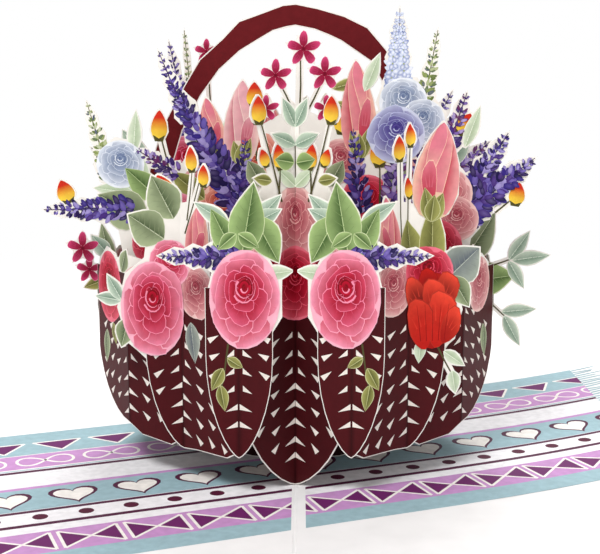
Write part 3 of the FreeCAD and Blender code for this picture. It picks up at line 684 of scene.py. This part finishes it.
PRINT = mottled("print", 0.48, 0.90, 1.06, 420, 0.25, attribute="ink")
PAPER = mottled("cut_paper", 0.6, 0.96, 1.02, 300, 0.3, colour=rgb("f3eee6"))
CARD = mottled("white_card", 0.55, 0.97, 1.02, 120, 0.3, colour=rgb("f4f3f2"))
FLOOR = mottled("pale_floor", 0.75, 0.99, 1.01, 6, 0.1, colour=rgb("fbfbfb"))
flow = FLOOR.node_tree
where = flow.nodes.new("ShaderNodeTexCoord")
far = flow.nodes.new("ShaderNodeVectorMath")
far.operation = "LENGTH"
flow.links.new(where.outputs["Object"], far.inputs[0])
fade = flow.nodes.new("ShaderNodeMapRange")
fade.interpolation_type = "SMOOTHSTEP"
fade.inputs["From Min"].default_value = 0.13
fade.inputs["From Max"].default_value = 0.5
flow.links.new(far.outputs["Value"], fade.inputs["Value"])
glow = flow.nodes.new("ShaderNodeEmission")
glow.inputs["Strength"].default_value = 1.0
blend = flow.nodes.new("ShaderNodeMixShader")
flow.links.new(fade.outputs["Result"], blend.inputs["Fac"])
flow.links.new(flow.nodes["Principled BSDF"].outputs["BSDF"], blend.inputs[1])
flow.links.new(glow.outputs["Emission"], blend.inputs[2])
flow.links.new(blend.outputs["Shader"], flow.nodes["Material Output"].inputs["Surface"])

for name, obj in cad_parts.items():
    obj.data.materials.clear()
    obj.data.materials.append(CARD if name == "card" else PAPER)


# The basket's sheets

def heading(start, end):
    return math.degrees(math.atan2(end[1] - start[1], end[0] - start[0]))


def spread(start, end):
    return math.hypot(end[0] - start[0], end[1] - start[1])


def draw(ink, items):
    for kind, *numbers in items:
        DRAW[kind](ink, *numbers)


def on_both_ends(name, ink, *shape, flipped=False):
    """The same print on the front sheet and on its twin at the back, which is turned half round."""
    side = name.split("_")[1] if "_" in name else ""
    print_sheet("front_" + name, ink, *shape, flipped=flipped)
    other = {"left": "right", "right": "left"}
    back = "_".join(other.get(word, word) for word in name.split("_"))
    print_sheet("back_" + back, ink, *shape, turned=True, flipped=flipped)


centre_angle = heading(CREASE_0, CREASE_1)
centre_reach = spread(CREASE_0, CREASE_1) - 1.3
centre_side = petal_side(centre_reach * 1.05, COVER, 34.0)
ink = Ink()
# painted shade: the centre panel's maroon is mixed a quarter of the way to the shade colour
weave(ink, centre_side, centre_side, COVER, mix(MAROON, MAROON_SHADE, 0.25))
for sign in (1, -1):
    marks(ink, centre_side + [(centre_reach * 1.05, 62)], sign, COVER, 52, 4)
draw(ink, CENTRE)
on_both_ends("centre_print", ink, CREASE_0, centre_angle, centre_reach, 180 - centre_angle, centre_reach)

side_1 = petal_side(10.0, 12.4, PETAL_WIDE)
inner_1 = 15.9 / math.cos(math.radians(12.1)) - SHEET
ink = Ink()
weave(ink, side_1, side_1, 12.4)
for sign in (1, -1):
    marks(ink, side_1 + [(10.0, 62)], sign, 12.4, 52, 7, phase=1.0)
draw(ink, SHEET_1)
for flipped in (False, True):
    on_both_ends(("right" if flipped else "left") + "_print_1", ink, CREASE_1, 162.8, 40.0, 12.1, inner_1, flipped=flipped)

reach_2 = spread(CREASE_2, CREASE_1) - 1.2
side_2 = petal_side(11.8, 10.4, PETAL_WIDE)
wall_2 = [(reach_2 * 0.2625, 11.0), (reach_2 * 0.84, 11.3), (reach_2 * 1.05, 13.8)]
for items, flipped in ((SHEET_2_LEFT, False), (mirrored(SHEET_2_RIGHT), True)):
    ink = Ink()
    weave(ink, side_2, wall_2, 10.4)
    marks(ink, side_2 + [(11.8, 62)], -1, 10.4, 50, 9)
    marks(ink, wall_2, 1, 10.4, 52, 10, phase=2.0)
    draw(ink, items)
    on_both_ends(("right" if flipped else "left") + "_print_2", ink, CREASE_2, 166.5, 40.0,
                 heading(CREASE_2, CREASE_1), reach_2, flipped=flipped)

reach_3 = spread(CREASE_3, CREASE_2) - 1.43
out_3 = spread(CREASE_3, SIDE) - 0.46
side_3 = petal_side(out_3 * 1.04, 15.0, PETAL_WIDE, 1.0)
wall_3 = [(reach_3 * 0.2625, 11.92), (reach_3 * 0.84, 10.6), (reach_3 * 1.05, 13.1)]
for items, flipped in ((SHEET_3_LEFT, False), (mirrored(SHEET_3_RIGHT), True)):
    ink = Ink()
    weave(ink, side_3, wall_3, 15.0)
    marks(ink, side_3 + [(out_3 * 1.04, 62)], -1, 15.0, 52, 11)
    marks(ink, wall_3, 1, 15.0, 52, 12, phase=1.5)
    draw(ink, items)
    on_both_ends(("right" if flipped else "left") + "_print_3", ink, CREASE_3, heading(CREASE_3, SIDE), out_3,
                 heading(CREASE_3, CREASE_2), reach_3, flipped=flipped)

for name, y, half, foot, items in (
    ("front_row_print", -14.0, 52.0, 10.0, FRONT_ROW), ("handle_print", 0.0, 64.7, 9.0, HANDLE_SHEET),
    ("back_row_print", 14.0, 52.0, 10.0, BACK_ROW),
):
    side = petal_side(half, COVER, RIM - 14, 0.8)
    ink = Ink()
    # painted shade: the row and handle sheets are printed nearly black, standing for the shade under and inside the
    # basket
    weave(ink, side, side, COVER, mix(MAROON, MAROON_SHADE, 0.85))
    if name == "handle_print":
        outer = [(-48, 62), (-47, 92), (-43, 105.1), (-36.5, 117), (-30.5, 127), (-23.2, 133.5), (-18, 139), (-10.5, 141.6),
                 (-4, 144), (0, 144.4), (7, 143), (15.5, 140.6), (23, 137), (28.5, 130.4), (35, 121), (41, 108), (47, 92), (48, 62)]
        inner = [(-41, 62), (-40, 92), (-36, 105), (-30, 116), (-24, 124), (-17.5, 129.8), (-12, 133), (-7, 136),
                 (-3, 137.1), (0, 137.6), (6, 136.4), (10, 134.8), (14, 133), (24, 126.4), (29, 117), (35, 105), (40, 92), (41, 62)]
        band_out = [(a[0] + (b[0] - a[0]) * 0.05, a[1] + (b[1] - a[1]) * 0.05) for a, b in zip(outer, inner)]
        band_in = [(b[0] + (a[0] - b[0]) * 0.05, b[1] + (a[1] - b[1]) * 0.05) for a, b in zip(outer, inner)]
        ink.strip(band_out, band_in, HANDLE, HANDLE)
    draw(ink, items)
    print_sheet(name, ink, (0, y), 180, 100.0, 0, 100.0)


# The runner printed on the card

TEAL, PINK, PLUM = rgb("9dbbc3"), rgb("c592c6"), rgb("6b2762")
DARK, PALE = rgb("54203f"), rgb("f2f0f2")
ALONG, ACROSS = Vector((0.927, 0.375)), Vector((-0.375, 0.927))
START, END = -190.0, 190.0

ink = Ink()


def band(low, high, shade):
    ink.strip([(START, high), (END, high)], [(START, low), (END, low)], shade, shade)


for low, high, shade in (
    (-70, 46.6, PALE), (23.0, 46.6, TEAL), (9.0, 23.0, PINK), (7.6, 8.4, TEAL), (5.0, 7.0, DARK), (-10.5, -8.5, PINK),
    (-28.4, -10.5, TEAL), (-30.5, -28.7, DARK), (-41.2, -39.2, DARK), (-61.0, -46.0, PINK), (-70, -61.0, TEAL),
):
    band(low, high, shade)


def outlined(points, shade, margin):
    """A filled shape with a white edge."""
    middle = (sum(p[0] for p in points) / len(points), sum(p[1] for p in points) / len(points))
    ink.fan(middle, points, shade, shade)
    for a, b in zip(points, points[1:] + points[:1]):
        line(ink, [a, b], margin, WHITE)


def heart(s, v, width):
    points = []
    for i in range(28):
        t = 2 * math.pi * i / 28
        x = 16 * math.sin(t) ** 3
        y = 13 * math.cos(t) - 5 * math.cos(2 * t) - 2 * math.cos(3 * t) - math.cos(4 * t)
        points.append((s + x * width / 32, v + (y + 2) * width / 32))
    middle = (s, v)
    grown = [(s + (p[0] - s) * 1.23, v + (p[1] - v) * 1.26) for p in points]
    ink.fan(middle, grown, DARK, DARK)
    ink.fan(middle, points, WHITE, WHITE)


def infinity(s, v, width):
    points = []
    for i in range(41):
        t = 2 * math.pi * i / 40
        d = 1 + math.sin(t) ** 2
        points.append((s + width / 2 * math.cos(t) / d, v + width / 2 * 1.25 * math.sin(t) * math.cos(t) / d))
    line(ink, points, 1.0, WHITE)


for k in range(-10, 11):
    s = k * 18.7 + 2
    outlined([(s - 8, 35.5), (s + 8, 35.5), (s, 25.5)], PLUM, 0.9)
    infinity(k * 21.5 + 6, 16.0, 18)
    heart(k * 19.3 - 0.5, -19.8, 12.0)
for k in range(-14, 15):
    s = k * 12.9
    ink.fan((s, -34.5), oval(s, -34.5, 4.4, 4.4, 0, 16), rgb("561b34"), rgb("561b34"))
for k in range(-10, 11):
    s = k * 18.2 + 3
    middle = (s + 8, -53.5)
    outlined([(s, -59.6), (s, -47.4), middle], PLUM, 0.9)
    outlined([(s + 16, -47.4), (s + 16, -59.6), middle], PLUM, 0.9)
for v in (23.0, 9.0):
    line(ink, [(START, v), (END, v)], 0.5, WHITE)

build = Build()
cuts = [-113.0, -1.0, 3.0, 48.0, 54.0, 60.0, 68.0, 76.0, 84.0, 92.0, 100.0, 107.0, 113.0]


bends = cuts[3:] + [123.0, 133.0, 150.0]
over, up = [], []
for x in bends:
    turn = (x - FLAT_PART) / CURL_RADIUS
    reach = CURL_RADIUS - COVER - 0.1 * min(1, (x - FLAT_PART) / 6)
    over.append(FLAT_PART + reach * math.sin(turn))
    up.append(CURL_RADIUS - reach * math.cos(turn))


def on_card(x, height):
    """Where a point of the print lies: the card curls up beyond its flat part, followed here in short flat steps."""
    if x <= FLAT_PART:
        return x, COVER + height
    return float(np.interp(x, bends, over)), float(np.interp(x, bends, up)) + height


def lay(points, shades, level, low, high):
    inside = clip(points, shades, 1, 0, low)
    inside = clip(*inside, -1, 0, -high) if inside[0] else inside
    for sign in (1, -1):
        inside = clip(*inside, 0, sign, -99.6) if inside[0] else inside
    if len(inside[0]) < 3:
        return
    build.add([(on_card(x, LIFT + COAT * level)[0], y, on_card(x, LIFT + COAT * level)[1]) for x, y in inside[0]], inside[1])


for points, shades, level in ink.patches:
    flat = [tuple(ALONG * s + ACROSS * v) for s, v in points]
    for low, high in zip(cuts, cuts[1:]):
        if low != -1.0:
            lay(flat, shades, level, low, high)

rng = random.Random(5)
for side in (1, -1):
    for k in range(44):
        v = -69 + k * 2.65
        s = (side * 113.0 + 0.375 * v) / 0.927
        reach = rng.uniform(9, 14)
        lean = rng.uniform(-1.2, 1.2)
        strand = [(s - side * 0.3, v + 0.6), (s - side * 0.3, v - 0.6), (s + side * reach, v + lean - 0.35), (s + side * reach, v + lean + 0.35)]
        flat = [tuple(ALONG * a + ACROSS * b) for a, b in strand]
        for low, high in ((-150, -113), (113, 123), (123, 133)):
            lay(flat, [TEAL] * 4, 1 + k % 3, low, high)
runner = build.make("runner_print", PRINT)
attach(runner, "root")

# Floor, light and camera

bpy.ops.mesh.primitive_plane_add(size=8)
floor = bpy.context.object
floor.name = "floor"
floor.data.materials.append(FLOOR)

world = bpy.data.worlds.new("studio")
bpy.context.scene.world = world
world.use_nodes = True
nodes, links = world.node_tree.nodes, world.node_tree.links
nodes.clear()
lit = nodes.new("ShaderNodeBackground")
lit.inputs["Color"].default_value = (1, 1, 1, 1)
lit.inputs["Strength"].default_value = 0.48
seen = nodes.new("ShaderNodeBackground")
seen.inputs["Color"].default_value = (1, 1, 1, 1)
seen.inputs["Strength"].default_value = 1.0
path = nodes.new("ShaderNodeLightPath")
pick = nodes.new("ShaderNodeMixShader")
out = nodes.new("ShaderNodeOutputWorld")
links.new(path.outputs["Is Camera Ray"], pick.inputs["Fac"])
links.new(lit.outputs["Background"], pick.inputs[1])
links.new(seen.outputs["Background"], pick.inputs[2])
links.new(pick.outputs["Shader"], out.inputs["Surface"])


def area_light(name, position, target, size, power):
    data = bpy.data.lights.new(name, "AREA")
    data.shape = "DISK"
    data.size = size
    data.energy = power
    lamp = bpy.data.objects.new(name, data)
    lamp.location = position
    lamp.rotation_euler = (Vector(target) - Vector(position)).to_track_quat("-Z", "Y").to_euler()
    bpy.context.scene.collection.objects.link(lamp)


area_light("key", (-0.3, -0.55, 0.9), (0, 0, 0.07), 0.35, 7)
area_light("fill", (0.8, -0.5, 0.45), (0, 0, 0.07), 0.6, 1.5)
area_light("back", (0.1, 0.6, 0.8), (0, 0, 0.05), 0.6, 6)

data = bpy.data.cameras.new("camera")
data.sensor_width = 36
data.lens = 70.5
camera = bpy.data.objects.new("camera", data)
camera.location = (0.0014, -0.3776, 0.118)
camera.rotation_euler = (math.radians(80.9), 0, 0)
bpy.context.scene.collection.objects.link(camera)
bpy.context.scene.camera = camera
bpy.context.scene.view_settings.view_transform = "Standard"
